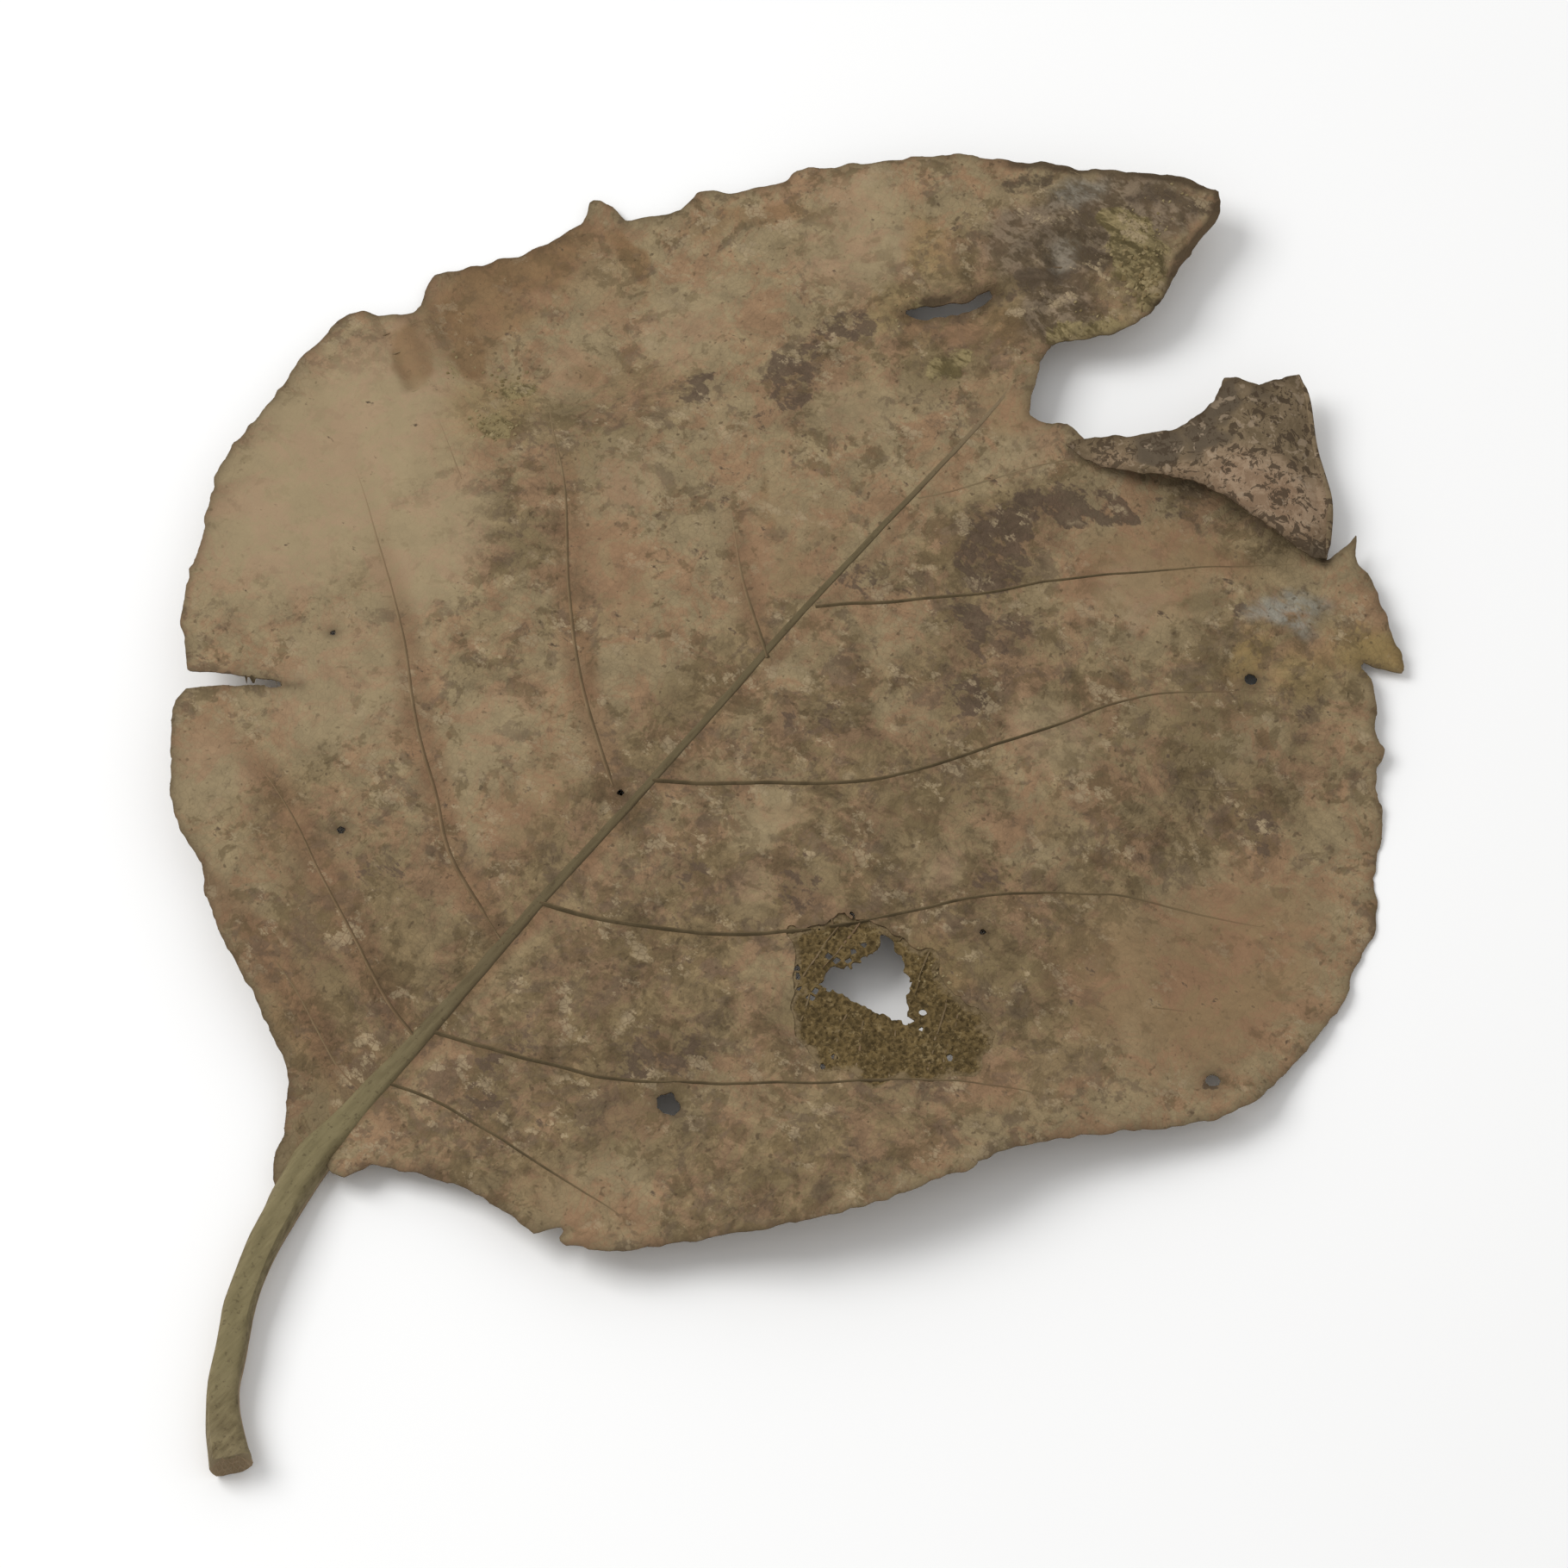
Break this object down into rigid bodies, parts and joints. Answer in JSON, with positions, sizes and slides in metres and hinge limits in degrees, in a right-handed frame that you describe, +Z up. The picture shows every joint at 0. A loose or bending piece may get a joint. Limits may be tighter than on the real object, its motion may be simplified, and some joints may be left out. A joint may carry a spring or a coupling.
{
  "type": "teak leaf",
  "caption": "Large dried teak leaf with a wavy torn margin, raised veins, a rotted net patch, a folded flap and its leaf stalk, lying flat.",
  "frame": {"origin": "on the surface that the leaf lies on, under the place where the leaf stalk meets the blade", "axes": "+X along the midrib to the leaf's tip, +Y to the left half of the blade, +Z up out of its upper face"},
  "size_m": [0.2497, 0.1847, 0.011],
  "materials": {
    "dry_leaf": "dry and matt, weathered"
  },
  "bodies": {
    "root": {"teak_leaf": "dry_leaf"}
  },
  "joints": []
}
